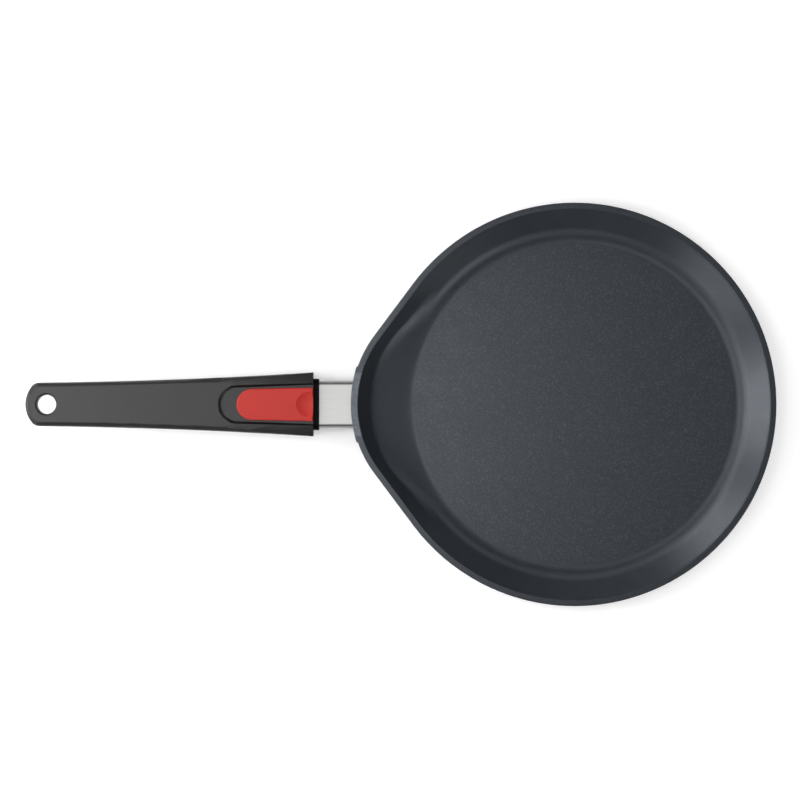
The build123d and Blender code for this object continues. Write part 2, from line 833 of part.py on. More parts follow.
# Return spring: a coil round the guide, between the slide's tab and the rear wall
with BuildPart() as return_spring:
    coil_radius = (spring_diameter - spring_wire) / 2
    coil_start = -cavity_rear + spring_wire / 2 + seat_gap
    coil_length = cavity_rear - slide_rear - spring_wire - 2 * seat_gap
    with BuildLine():
        coil = Helix(
            pitch=coil_length / spring_turns,
            height=coil_length,
            radius=coil_radius,
            center=(coil_start, 0, spring_height),
            direction=(1, 0, 0),
        )
    with BuildSketch(Plane(origin=coil @ 0, z_dir=coil % 0)):
        Circle(spring_wire / 2)
    sweep(path=coil, is_frenet=True)
    half_turn = round(coil_steps_in_turn / 2)
    coil_steps = spring_turns * coil_steps_in_turn
    coil_points = [coil @ (step / coil_steps) for step in range(coil_steps + 1)]
    least_gap = min(
        (here - there).length
        for place, here in enumerate(coil_points)
        for there in coil_points[place + half_turn :]
    )
print("return_spring: least gap between turns", round(least_gap - spring_wire, 3))
return_spring.part.label = "return_spring"
export_step(return_spring.part, "parts/return_spring.step")
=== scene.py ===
"""Dresses the crepe pan: the cast body, the steel neck, the moulded handle and its latch.

Everything is in metres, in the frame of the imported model: the base stands on Z = 0, the
centre of the round is X = Y = 0, and the handle points along -X.
"""

import logging
import math
from dataclasses import dataclass
from enum import Enum

import bmesh
import bpy
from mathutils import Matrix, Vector


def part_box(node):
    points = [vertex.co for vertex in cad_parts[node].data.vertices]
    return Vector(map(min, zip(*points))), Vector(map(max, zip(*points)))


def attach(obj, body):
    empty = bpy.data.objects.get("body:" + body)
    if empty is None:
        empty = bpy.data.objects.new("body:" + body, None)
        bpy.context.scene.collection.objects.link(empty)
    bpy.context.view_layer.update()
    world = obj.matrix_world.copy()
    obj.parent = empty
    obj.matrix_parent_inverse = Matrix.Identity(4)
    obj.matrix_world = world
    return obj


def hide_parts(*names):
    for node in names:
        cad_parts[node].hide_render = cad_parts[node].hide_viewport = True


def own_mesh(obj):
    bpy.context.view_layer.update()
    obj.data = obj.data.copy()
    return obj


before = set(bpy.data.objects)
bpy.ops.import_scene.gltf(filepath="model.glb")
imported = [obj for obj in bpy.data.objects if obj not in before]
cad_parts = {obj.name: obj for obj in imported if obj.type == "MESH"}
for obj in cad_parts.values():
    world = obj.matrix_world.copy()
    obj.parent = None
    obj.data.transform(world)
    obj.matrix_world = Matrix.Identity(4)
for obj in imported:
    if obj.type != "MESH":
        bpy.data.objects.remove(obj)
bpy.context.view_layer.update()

log = logging.getLogger("crepe_pan")

Colour = tuple[float, float, float]
Socket = bpy.types.NodeSocket

MERGE_DISTANCE = 0.000002
NOISE_MIDDLE = (0.3, 0.7)


class Body(Enum):
    """The bodies of the model that a piece can ride on."""

    PAN = "pan"
    HANDLE = "handle"
    BUTTON = "button"


class Merge(Enum):
    """How one closed mesh is worked into another."""

    JOIN = "UNION"
    CUT = "DIFFERENCE"


class Bench:
    """Lays out the nodes of one material."""

    def __init__(self, name: str, colour: Colour, roughness: float, metallic: float = 0.0) -> None:
        """Start a material with its plain values on the shader.

        Args:
            name: The material's name.
            colour: Linear colour.
            roughness: Roughness of the surface.
            metallic: 1 for metal and 0 for everything else.
        """
        self.material = bpy.data.materials.new(name)
        self.material.use_nodes = True
        self.nodes = self.material.node_tree.nodes
        self.links = self.material.node_tree.links
        self.shader = self.nodes["Principled BSDF"]
        self.shader.inputs["Base Color"].default_value = (*colour, 1)
        self.shader.inputs["Roughness"].default_value = roughness
        self.shader.inputs["Metallic"].default_value = metallic
        self.material.diffuse_color = (*colour, 1)

    def place(self, stretch: Colour = (1, 1, 1)) -> Socket:
        """Object coordinates, stretched by a factor along each axis."""
        coordinates = self.nodes.new("ShaderNodeTexCoord")
        mapping = self.nodes.new("ShaderNodeMapping")
        mapping.inputs["Scale"].default_value = stretch
        self.links.new(coordinates.outputs["Object"], mapping.inputs["Vector"])
        return mapping.outputs["Vector"]

    def axes(self) -> tuple[Socket, Socket, Socket]:
        """The three object coordinates, each by itself."""
        split = self.nodes.new("ShaderNodeSeparateXYZ")
        self.links.new(self.place(), split.inputs["Vector"])
        return split.outputs["X"], split.outputs["Y"], split.outputs["Z"]

    def noise(self, grain: float, detail: float = 2.0, stretch: Colour = (1, 1, 1)) -> Socket:
        """Cloudy noise.

        Args:
            grain: Size of the grain in metres.
            detail: Octaves of finer noise on top.
            stretch: Factors on the coordinates.

        Returns:
            A value about 0.5.
        """
        texture = self.nodes.new("ShaderNodeTexNoise")
        texture.inputs["Scale"].default_value = 1 / grain
        texture.inputs["Detail"].default_value = detail
        self.links.new(self.place(stretch), texture.inputs["Vector"])
        return texture.outputs["Fac"]

    def flakes(self, size: float) -> Socket:
        """One random value for each small cell of a size in metres."""
        texture = self.nodes.new("ShaderNodeTexVoronoi")
        texture.inputs["Scale"].default_value = 1 / size
        self.links.new(self.place(), texture.inputs["Vector"])
        split = self.nodes.new("ShaderNodeSeparateColor")
        self.links.new(texture.outputs["Color"], split.inputs["Color"])
        return split.outputs["Red"]

    def span(self, value: Socket, start: float, end: float, low: float, high: float) -> Socket:
        """Turn a value from start to end into one from low to high, clamped and smooth."""
        remap = self.nodes.new("ShaderNodeMapRange")
        remap.interpolation_type = "SMOOTHSTEP"
        for name, number in (
            ("From Min", start),
            ("From Max", end),
            ("To Min", low),
            ("To Max", high),
        ):
            remap.inputs[name].default_value = number
        self.links.new(value, remap.inputs["Value"])
        return remap.outputs["Result"]

    def spread(self, noise: Socket, low: float = 0.0, high: float = 1.0) -> Socket:
        """Spread the middle of a noise, where most of it lies, from low to high."""
        return self.span(noise, *NOISE_MIDDLE, low, high)

    def sum(self, operation: str, first: Socket, second: Socket | float) -> Socket:
        """One arithmetic step on two values.

        Args:
            operation: Name of the operation, such as MULTIPLY.
            first: The first value.
            second: The second value, a socket or a number.

        Returns:
            The result.
        """
        node = self.nodes.new("ShaderNodeMath")
        node.operation = operation
        self.links.new(first, node.inputs[0])
        if isinstance(second, Socket):
            self.links.new(second, node.inputs[1])
        else:
            node.inputs[1].default_value = second
        return node.outputs["Value"]

    def from_axis(self, along: Socket, across: Socket) -> Socket:
        """The square of the distance from the upright axis."""
        return self.sum(
            "ADD", self.sum("MULTIPLY", along, along), self.sum("MULTIPLY", across, across)
        )

    def tint(self, share: Socket, under: Colour | Socket, over: Colour | Socket) -> Socket:
        """Mix two colours by a share from 0, all under, to 1, all over."""
        mix = self.nodes.new("ShaderNodeMix")
        mix.data_type = "RGBA"
        self.links.new(share, mix.inputs["Factor"])
        for name, colour in (("A", under), ("B", over)):
            socket = next(s for s in mix.inputs if s.name == name and s.type == "RGBA")
            if isinstance(colour, Socket):
                self.links.new(colour, socket)
            else:
                socket.default_value = (*colour, 1)
        return next(s for s in mix.outputs if s.type == "RGBA")

    def paint(self, colour: Socket) -> None:
        """Give the shader its colour."""
        self.links.new(colour, self.shader.inputs["Base Color"])

    def polish(self, roughness: Socket) -> None:
        """Give the shader its roughness."""
        self.links.new(roughness, self.shader.inputs["Roughness"])

    def emboss(self, height: Socket, depth: float) -> None:
        """Raise the surface by a height pattern, depth in metres."""
        bump = self.nodes.new("ShaderNodeBump")
        bump.inputs["Distance"].default_value = depth
        self.links.new(height, bump.inputs["Height"])
        self.links.new(bump.outputs["Normal"], self.shader.inputs["Normal"])


def shades(colour: Colour, contrast: float) -> tuple[Colour, Colour]:
    """A colour made darker and lighter by a share."""
    dark, light = (
        tuple(factor * part for part in colour) for factor in (1 - contrast, 1 + contrast)
    )
    return dark, light


@dataclass(frozen=True)
class CoatedCasting:
    """Dark non-stick coating, sprayed with fine bright flakes, on blasted aluminium."""

    slot: str = "coated_casting"
    title: str = "sprayed coating"
    colour: Colour = (0.0118, 0.0140, 0.0180)
    flake: Colour = (0.050, 0.055, 0.064)
    # Colour of the painted highlight on the rim over the boss.
    rim_highlight: Colour = (0.066, 0.074, 0.088)
    gloss: float = 0.55
    gloss_tint: Colour = (0.86, 0.92, 1.0)
    roughness: float = 0.37
    grain: float = 0.0009
    grain_contrast: float = 0.22
    grain_depth: float = 0.00004
    wall_grain: float = 0.3
    flake_size: float = 0.0007
    flake_band: tuple[float, float] = (0.72, 0.98)
    flake_share: float = 0.5
    cloud: float = 0.012
    cloud_roughness: float = 0.02
    floor_level: float = 0.0064
    floor_fade: tuple[float, float] = (0.0002, 0.0010)
    floor_radius: float = 0.112
    radius_fade: float = 0.04
    rim_level: float = 0.0225
    rim_fade: tuple[float, float] = (0.0006, 0.0002)
    rim_highlight_reach: float = 0.0219
    rim_highlight_fade: float = 0.0008
    rim_highlight_start: float = -0.14
    rim_highlight_ease: float = 0.001
    mottle: float = 0.0022

    def material(self) -> bpy.types.Material:
        """Make the material."""
        bench = Bench(self.title, self.colour, self.roughness)
        bench.shader.inputs["Specular IOR Level"].default_value = self.gloss
        bench.shader.inputs["Specular Tint"].default_value = (*self.gloss_tint, 1)
        along, across, up = bench.axes()
        fade_start, fade_end = (self.floor_level + rise for rise in self.floor_fade)
        near_floor = bench.span(up, fade_start, fade_end, 1.0, 0.0)
        area = self.floor_radius**2
        fade = self.radius_fade * area
        in_round = bench.span(bench.from_axis(along, across), area - fade, area + fade, 1.0, 0.0)
        on_floor = bench.sum("MULTIPLY", near_floor, in_round)
        grain = bench.noise(self.grain, 3.0)
        flakes = bench.span(bench.flakes(self.flake_size), *self.flake_band, 0.0, 1.0)
        flakes = bench.sum("MULTIPLY", flakes, on_floor)
        coat = bench.tint(bench.spread(grain), *shades(self.colour, self.grain_contrast))
        coat = bench.tint(bench.sum("MULTIPLY", flakes, self.flake_share), coat, self.flake)
        # The coating gets a paler, mottled painted highlight on the rim over the boss.
        bench.paint(self._paint_rim_highlight(bench, coat, (along, across, up)))
        rough, swing = self.roughness, self.cloud_roughness
        bench.polish(bench.spread(bench.noise(self.cloud), rough - swing, rough + swing))
        relief = bench.sum(
            "MULTIPLY", grain, bench.span(on_floor, 0.0, 1.0, self.wall_grain, 1.0)
        )
        bench.emboss(relief, self.grain_depth)
        return bench.material

    def _paint_rim_highlight(self, bench: Bench, coat: Socket, axes: tuple[Socket, Socket, Socket]) -> Socket:
        """Paint a paler, mottled highlight on the rim over the boss.

        Args:
            bench: The material's bench.
            coat: Colour of the coating.
            axes: The object's three coordinates.

        Returns:
            The colour with the painted highlight.
        """
        along, across, up = axes
        aside = bench.sum("ABSOLUTE", across, 0.0)
        reach, fade = self.rim_highlight_reach, self.rim_highlight_fade
        inside = bench.span(aside, reach - fade, reach + fade, 1.0, 0.0)
        fade_start, fade_end = (self.rim_level - drop for drop in self.rim_fade)
        on_rim = bench.span(up, fade_start, fade_end, 0.0, 1.0)
        at_nose = bench.span(along, self.rim_highlight_start - self.rim_highlight_ease, self.rim_highlight_start, 1.0, 0.0)
        # The patch is a painted highlight on the flat rim over the boss.
        patch = bench.sum("MULTIPLY", bench.sum("MULTIPLY", inside, on_rim), at_nose)
        mottle = bench.span(bench.noise(self.mottle, 3.0), 0.35, 0.65, 0.55, 1.0)
        return bench.tint(bench.sum("MULTIPLY", patch, mottle), coat, self.rim_highlight)


@dataclass(frozen=True)
class Steel:
    """Satin or bright steel, brushed along the handle."""

    slot: str
    title: str
    colour: Colour = (0.62, 0.62, 0.61)
    roughness: float = 0.3
    brush: float = 0.0004
    brush_stretch: Colour = (0.02, 1, 1)
    brush_shade: float = 0.93
    cloud: float = 0.02
    cloud_roughness: float = 0.01
    depth: float = 0.000001
    # Painted shade along the neck's pressed grooves, a set distance either side of the middle.
    groove_shade_place: float = 0.0
    groove_shade_core: float = 0.0002
    groove_shade_reach: float = 0.0014
    groove_painted_shade: Colour = (0.10, 0.10, 0.10)

    def material(self) -> bpy.types.Material:
        """Make the material."""
        bench = Bench(self.title, self.colour, self.roughness, metallic=1.0)
        lines = bench.noise(self.brush, stretch=self.brush_stretch)
        shade: Colour = tuple(self.brush_shade * part for part in self.colour)
        coat = bench.tint(bench.spread(lines), shade, self.colour)
        # Paint shade into the pressed grooves: darker steel where shade falls in them.
        if self.groove_shade_place:
            _, across, _ = bench.axes()
            aside = bench.sum("SUBTRACT", bench.sum("ABSOLUTE", across, 0.0), self.groove_shade_place)
            aside = bench.sum("ABSOLUTE", aside, 0.0)
            near = bench.span(aside, self.groove_shade_core, self.groove_shade_reach, 1.0, 0.0)
            coat = bench.tint(near, coat, self.groove_painted_shade)
        bench.paint(coat)
        rough, swing = self.roughness, self.cloud_roughness
        bench.polish(bench.spread(bench.noise(self.cloud), rough - swing, rough + swing))
        bench.emboss(lines, self.depth)
        return bench.material


@dataclass(frozen=True)
class Moulding:
    """Moulded plastic with the fine spark grain of its tool."""

    slot: str
    title: str
    colour: Colour
    roughness: float = 0.45
    gloss: float = 0.4
    grain: float = 0.0005
    grain_roughness: float = 0.04
    depth: float = 0.00001
    cloud: float = 0.018
    contrast: float = 0.06

    def material(self) -> bpy.types.Material:
        """Make the material."""
        bench = Bench(self.title, self.colour, self.roughness)
        bench.shader.inputs["Specular IOR Level"].default_value = self.gloss
        grain = bench.noise(self.grain)
        cloud = bench.spread(bench.noise(self.cloud))
        bench.paint(bench.tint(cloud, *shades(self.colour, self.contrast)))
        rough, swing = self.roughness, self.grain_roughness
        bench.polish(bench.spread(grain, rough - swing, rough + swing))
        bench.emboss(grain, self.depth)
        return bench.material


CASTING = CoatedCasting()
NECK_STEEL = Steel(
    "neck_steel", "satin sheet", colour=(0.45, 0.45, 0.445), roughness=0.48, groove_shade_place=0.0145
)
LATCH_STEEL = Steel("latch_steel", "plain steel", colour=(0.52, 0.52, 0.52), roughness=0.34)
BRIGHT_STEEL = Steel("fastener_steel", "bright steel", colour=(0.58, 0.58, 0.57), roughness=0.24)
GRIP = Moulding(
    "grip_moulding",
    "grip plastic",
    colour=(0.0062, 0.0062, 0.0063),
    gloss=0.34,
    roughness=0.38,
)
COLLAR = Moulding("collar_moulding", "collar plastic", colour=(0.003, 0.0026, 0.003), gloss=0.05)
BUTTON = Moulding(
    "button_moulding", "button plastic", colour=(0.34, 0.014, 0.009), gloss=0.26, contrast=0.03
)


class Modeller:
    """Small steps of hand modelling that several pieces share."""

    @staticmethod
    def clear() -> None:
        """Leave edit mode and deselect everything."""
        if bpy.context.mode != "OBJECT":
            bpy.ops.object.mode_set(mode="OBJECT")
        bpy.ops.object.select_all(action="DESELECT")

    @staticmethod
    def pick(piece: bpy.types.Object) -> None:
        """Make one piece the only selected and active object."""
        Modeller.clear()
        piece.select_set(True)
        bpy.context.view_layer.objects.active = piece

    @staticmethod
    def merge(piece: bpy.types.Object, tool: bpy.types.Object, how: Merge) -> None:
        """Work a closed tool into a closed piece, and throw the tool away.

        Args:
            piece: The mesh that stays.
            tool: The mesh that is joined on or cut away.
            how: Whether it joins or cuts.
        """
        Modeller.pick(piece)
        modifier = piece.modifiers.new("merge", "BOOLEAN")
        modifier.operation = how.value
        modifier.solver = "EXACT"
        modifier.object = tool
        bpy.ops.object.modifier_apply(modifier="merge")
        bpy.data.objects.remove(tool)

    @staticmethod
    def trace(
        node: str,
        name: str,
        angle: float = 32.0,
        broad_face: float = 6e-6,
        broad_width: float = 0.0008,
        crease: float = 1.2,
        flatness: float = 0.4,
    ) -> bpy.types.Object:
        """Copy a CAD node's mesh as a piece of its own, merged and smoothed.

        Args:
            node: The CAD node that the copy stands for.
            name: The copy's name.
            angle: Edges sharper than this many degrees stay sharp.
            broad_face: Faces over this many square metres keep a crisp edge between them.
            broad_width: They do so only if their mean width in metres is over this.
            crease: They do so where they meet at more than this many degrees.
            flatness: Faces that meet at fewer degrees than this become one.

        Returns:
            The piece.
        """

        def is_broad(face: bmesh.types.BMFace) -> bool:
            """Whether a face belongs to a broad surface, not to a rounding."""
            area = face.calc_area()
            longest = max(edge.calc_length() for edge in face.edges)
            return area > broad_face and area / longest > broad_width

        piece = bpy.data.objects.new(name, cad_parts[node].data.copy())
        bpy.context.scene.collection.objects.link(piece)
        Modeller.pick(piece)
        bpy.ops.object.mode_set(mode="EDIT")
        bpy.ops.mesh.select_all(action="SELECT")
        bpy.ops.mesh.remove_doubles(threshold=MERGE_DISTANCE)
        bpy.ops.mesh.mark_sharp(clear=True)
        bpy.ops.mesh.dissolve_limited(angle_limit=math.radians(flatness))
        bpy.ops.mesh.select_mode(type="EDGE")
        bpy.ops.mesh.select_all(action="DESELECT")
        cage = bmesh.from_edit_mesh(piece.data)
        for edge in cage.edges:
            broad = len(edge.link_faces) == 2 and all(is_broad(face) for face in edge.link_faces)
            edge.select_set(broad and edge.calc_face_angle() > math.radians(crease))
        bpy.ops.mesh.mark_sharp()
        bpy.ops.object.mode_set(mode="OBJECT")
        Modeller.finish(piece, name, angle)
        Modeller.level(piece)
        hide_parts(node)
        return piece

    @staticmethod
    def level(piece: bpy.types.Object, stray: float = 14.0, small_face: float = 2e-6) -> None:
        """Shade a face by its own normal at each corner that a steep neighbour pulls away.

        Args:
            piece: The mesh object.
            stray: How many degrees a corner may lean from its face.
            small_face: Faces under this many square metres are left alone.
        """
        mesh = piece.data
        limit = math.radians(stray)
        normals = [corner.vector.copy() for corner in mesh.corner_normals]
        for face in mesh.polygons:
            for corner in face.loop_indices:
                if face.area > small_face and normals[corner].angle(face.normal) > limit:
                    normals[corner] = face.normal.copy()
        mesh.normals_split_custom_set(normals)

    @staticmethod
    def finish(piece: bpy.types.Object, name: str, angle: float = 32.0) -> bpy.types.Object:
        """Clean a finished mesh and smooth its shading.

        Args:
            piece: The mesh object.
            name: Its name from now on.
            angle: Edges sharper than this many degrees stay sharp.

        Returns:
            The piece.
        """
        Modeller.pick(piece)
        bpy.ops.object.transform_apply(location=True, rotation=True, scale=True)
        bpy.ops.object.mode_set(mode="EDIT")
        bpy.ops.mesh.select_all(action="SELECT")
        bpy.ops.mesh.remove_doubles(threshold=MERGE_DISTANCE)
        bpy.ops.mesh.normals_make_consistent(inside=False)
        bpy.ops.object.mode_set(mode="OBJECT")
        bpy.ops.object.shade_smooth_by_angle(angle=math.radians(angle))
        weights = piece.modifiers.new("weights", "WEIGHTED_NORMAL")
        weights.keep_sharp = True
        bpy.ops.object.modifier_apply(modifier="weights")
        piece.name = name
        piece.data.name = name
        return piece

    @staticmethod
    def dress(piece: bpy.types.Object, finish: CoatedCasting | Steel | Moulding) -> None:
        """Give a piece one finish all over."""
        material = bpy.data.materials.get(finish.title) or finish.material()
        piece.data.materials.clear()
        piece.data.materials.append(material)


@dataclass(frozen=True)
class Ring:
    """One ring of the casting: a round that is drawn out to a tip, at a level."""

    radius: float
    tip: float
    tip_radius: float
    level: float

    def reach(self, angle: float) -> float:
        """Distance from the axis to the outline.

        Args:
            angle: Angle from the nose, in radians.

        Returns:
            The distance in metres.
        """
        centre = self.tip - self.tip_radius
        if centre <= abs(self.radius - self.tip_radius):
            return self.radius
        turned = abs(angle)
        lean = math.acos((self.radius - self.tip_radius) / centre)
        if turned >= lean:
            return self.radius
        flank_start = math.atan2(
            self.tip_radius * math.sin(lean), centre + self.tip_radius * math.cos(lean)
        )
        if turned > flank_start:
            return self.radius / math.cos(turned - lean)
        aside = centre * math.sin(turned)
        return centre * math.cos(turned) + math.sqrt(self.tip_radius**2 - aside**2)

    def shrunk(self, share: float) -> "Ring":
        """The same outline at a share of its size."""
        return Ring(self.radius * share, self.tip * share, self.tip_radius * share, self.level)


@dataclass
class PanCasting:
    """The cast body: floor, low wall, flat rim, nose, boss and lug, with the pad below."""

    radius: float = 0.140
    height: float = 0.0225
    floor_level: float = 0.0064
    rim_width: float = 0.00465
    rim_rounding: float = 0.0008
    wall_run: float = 0.02335
    wall_slope: float = 42.0
    outer_slope: float = 45.0
    nose_length: float = 0.0149
    nose_radius: float = 0.080
    ramp_share: float = 0.5
    ramp_easing: float = 1.6
    floor_bulge: float = 0.0005
    floor_tip_share: float = 0.9
    pad_radius: float = 0.106
    pad_height: float = 0.0012
    pad_chamfer: float = 0.0005
    groove_width: float = 0.0016
    groove_depth: float = 0.0003
    groove_shares: tuple[float, ...] = (0.42, 0.78)
    boss_width: float = 0.053
    boss_face_radius: float = 0.092
    boss_proud: float = 0.0003
    boss_height: float = 0.0155
    boss_depth: float = 0.027
    boss_rounding: float = 0.0025
    lug_width: float = 0.0306
    lug_height: float = 0.0088
    lug_length: float = 0.017
    neck_level: float = 0.0145
    around: int = 360
    foot_rings: int = 10
    wall_rings: int = 12
    round_rings: int = 5

    def _wall(self, foot: float, rim_offset: float, slope_degrees: float) -> list[Ring]:
        """Rings of a wall that curves up at its foot and then runs straight.

        Args:
            foot: Level of the wall's foot.
            rim_offset: How far the wall's top lies inside the outer edge of the rim.
            slope_degrees: Slope of the straight part of the round's wall.

        Returns:
            The rings from the foot to the shoulder of the rim.
        """
        slope = math.radians(slope_degrees)
        floor_radius = self.radius - self.rim_width - self.wall_run
        floor_tip = floor_radius + self.floor_bulge
        rise = self.height - self.rim_rounding - foot
        round_run = self.radius - rim_offset - floor_radius
        nose_run = self.radius + self.nose_length - rim_offset - floor_tip
        bend = (round_run - rise / math.tan(slope)) / math.tan(slope / 2)
        bend_rise = bend * (1 - math.cos(slope))
        heights = [
            bend * (1 - math.cos(slope * step / self.foot_rings)) for step in range(self.foot_rings)
        ]
        heights += [
            bend_rise + (rise - bend_rise) * step / self.wall_rings
            for step in range(self.wall_rings + 1)
        ]
        foot_tip_radius = floor_radius * self.floor_tip_share
        top_tip_radius = self.nose_radius - rim_offset
        rings = []
        for height in heights:
            round_out = round_run - (rise - height) / math.tan(slope)
            if height < bend_rise:
                round_out = math.sqrt(bend**2 - (bend - height) ** 2)
            left = max(0.0, 1 - height / (self.ramp_share * rise))
            nose_out = round_out + (nose_run - round_run) * (1 - left**self.ramp_easing)
            nose_share = nose_out / nose_run
            rings.append(
                Ring(
                    floor_radius + round_out,
                    floor_tip + nose_out,
                    foot_tip_radius + (top_tip_radius - foot_tip_radius) * nose_share,
                    foot + height,
                )
            )
        return rings

    def _rounding(self, rim_offset: float, side: int) -> list[Ring]:
        """Rings of the rim's rounded edge, outer (1) or inner (-1), from shoulder to top."""
        rings = []
        for step in range(1, self.round_rings + 1):
            angle = math.radians(90) * step / self.round_rings
            inset = rim_offset + side * self.rim_rounding * (1 - math.cos(angle))
            rings.append(
                Ring(
                    self.radius - inset,
                    self.radius + self.nose_length - inset,
                    self.nose_radius - inset,
                    self.height - self.rim_rounding * (1 - math.sin(angle)),
                )
            )
        return rings

    def _round(self, radius: float, level: float) -> Ring:
        """A plain round ring."""
        return Ring(radius, radius, radius, level)

    def _pad(self) -> list[Ring]:
        """Rings of the turned pad, from its foot in the wall inwards to the axis."""
        rings = [
            self._round(self.pad_radius, self.pad_height),
            self._round(self.pad_radius, self.pad_chamfer),
            self._round(self.pad_radius - self.pad_chamfer, 0.0),
        ]
        for share in reversed(self.groove_shares):
            outer = share * self.pad_radius + self.groove_width / 2
            inner = outer - self.groove_width
            rings += [
                self._round(outer, 0.0),
                self._round(outer, self.groove_depth),
                self._round(inner, self.groove_depth),
                self._round(inner, 0.0),
            ]
        rings.append(self._round(0.02 * self.pad_radius, 0.0))
        return rings

    def _turn(self, rings: list[Ring]) -> bpy.types.Object:
        """Grow a closed shape ring by ring, from one pole to the other.

        Args:
            rings: The rings in order.

        Returns:
            The mesh object.
        """
        Modeller.clear()
        bpy.ops.mesh.primitive_circle_add(
            vertices=self.around,
            radius=rings[0].radius,
            fill_type="TRIFAN",
            location=(0, 0, rings[0].level),
        )
        piece = bpy.context.active_object
        bpy.ops.object.transform_apply(location=True)
        bpy.ops.object.mode_set(mode="EDIT")
        bpy.ops.mesh.select_mode(type="EDGE")
        bpy.ops.mesh.select_all(action="DESELECT")
        bpy.ops.mesh.select_non_manifold()
        for ring in rings:
            if ring is not rings[0]:
                bpy.ops.mesh.extrude_region_move()
            self._set_ring(piece, ring)
        bpy.ops.mesh.extrude_region_move()
        bpy.ops.mesh.merge(type="CENTER")
        bpy.ops.mesh.select_all(action="SELECT")
        bpy.ops.mesh.normals_make_consistent(inside=False)
        bpy.ops.object.mode_set(mode="OBJECT")
        return piece

    @staticmethod
    def _set_ring(piece: bpy.types.Object, ring: Ring) -> None:
        """Move the selected points out to a ring's outline, each along its own ray."""
        cage = bmesh.from_edit_mesh(piece.data)
        for point in cage.verts:
            if point.select:
                angle = math.atan2(point.co.y, -point.co.x)
                reach = ring.reach(angle)
                point.co = (-reach * math.cos(angle), reach * math.sin(angle), ring.level)
        bmesh.update_edit_mesh(piece.data)

    def _shell(self) -> bpy.types.Object:
        """The outside of the casting as a full block, flat on top."""
        wall = self._wall(self.pad_height, 0, self.outer_slope)
        top = self._rounding(0, 1)
        top.append(top[-1].shrunk(0.5))
        top.append(top[-1].shrunk(0.1))
        return self._turn([*reversed(top), *reversed(wall), *self._pad()])

    def _hollow(self) -> bpy.types.Object:
        """The cooking space as a full block, which stands out over the rim."""
        wall = self._wall(self.floor_level, self.rim_width, self.wall_slope)
        foot = wall[0]
        floor = [foot.shrunk(share) for share in (0.04, 0.2, 0.4, 0.6, 0.8, 0.94)]
        edge = self._rounding(self.rim_width, -1)
        last = edge[-1]
        above = Ring(last.radius, last.tip, last.tip_radius, self.height + self.rim_width)
        return self._turn([*floor, *wall, *edge, above, above.shrunk(0.1)])

    def _boss(self) -> bpy.types.Object:
        """The block at the nose that carries the neck."""
        face = self.radius + self.nose_length + self.boss_proud
        Modeller.clear()
        bpy.ops.mesh.primitive_cylinder_add(
            vertices=4 * self.around,
            radius=self.boss_face_radius,
            depth=self.boss_height,
            location=(self.boss_face_radius - face, 0, self.height - self.boss_height / 2),
        )
        piece = bpy.context.active_object
        bpy.ops.object.transform_apply(location=True)
        bpy.ops.object.mode_set(mode="EDIT")
        for place, way in (
            ((self.boss_depth - face, 0, 0), (1, 0, 0)),
            ((0, self.boss_width / 2, 0), (0, 1, 0)),
            ((0, -self.boss_width / 2, 0), (0, -1, 0)),
        ):
            bpy.ops.mesh.select_all(action="SELECT")
            bpy.ops.mesh.bisect(plane_co=place, plane_no=way, use_fill=True, clear_outer=True)
        bpy.ops.mesh.select_mode(type="EDGE")
        bpy.ops.mesh.select_all(action="DESELECT")
        cage = bmesh.from_edit_mesh(piece.data)
        side = self.boss_width / 2 - 1e-5
        low = self.height - self.boss_height + 1e-5
        for edge in cage.edges:
            middle = (edge.verts[0].co + edge.verts[1].co) / 2
            upright = abs(edge.verts[0].co.z - edge.verts[1].co.z) > self.boss_height / 2
            at_corner = upright and abs(middle.y) > side and middle.x < self.boss_depth / 2 - face
            below = not upright and middle.z < low and middle.x < self.boss_depth / 2 - face
            edge.select_set(at_corner or (below and len(edge.link_faces) == 2))
        bpy.ops.mesh.bevel(offset=self.boss_rounding, segments=4, profile=0.5)
        bpy.ops.object.mode_set(mode="OBJECT")
        return piece

    def _lug(self) -> bpy.types.Object:
        """The tenon inside the neck."""
        face = self.radius + self.nose_length + self.boss_proud
        root = self.boss_depth / 4
        Modeller.clear()
        bpy.ops.mesh.primitive_cube_add(
            size=1,
            location=(-face - self.lug_length / 2 + root / 2, 0, self.neck_level),
            scale=(self.lug_length + root, self.lug_width, self.lug_height),
        )
        piece = bpy.context.active_object
        bpy.ops.object.transform_apply(location=True, scale=True)
        bpy.ops.object.mode_set(mode="EDIT")
        bpy.ops.mesh.select_all(action="SELECT")
        bpy.ops.mesh.bevel(offset=self.rim_rounding, segments=2)
        bpy.ops.object.mode_set(mode="OBJECT")
        return piece

    def build(self) -> bpy.types.Object:
        """Model the casting, dress it and set it on the pan.

        Returns:
            The finished piece.
        """
        piece = self._shell()
        Modeller.merge(piece, self._boss(), Merge.JOIN)
        Modeller.merge(piece, self._lug(), Merge.JOIN)
        Modeller.merge(piece, self._hollow(), Merge.CUT)
        Modeller.finish(piece, "pan_casting")
        Modeller.dress(piece, CASTING)
        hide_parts("pan_body")
        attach(piece, Body.PAN.value)
        log.info("%s: %d points", piece.name, len(piece.data.vertices))
        return piece


@dataclass
class Neck:
    """The steel neck and the tongue inside the handle."""

    def build(self) -> None:
        """Dress the neck's CAD nodes."""
        Modeller.dress(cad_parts["neck_sleeve"], NECK_STEEL)
        Modeller.dress(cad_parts["tongue"], LATCH_STEEL)
        Modeller.dress(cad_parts["tongue_screws"], BRIGHT_STEEL)
        log.info("neck dressed")


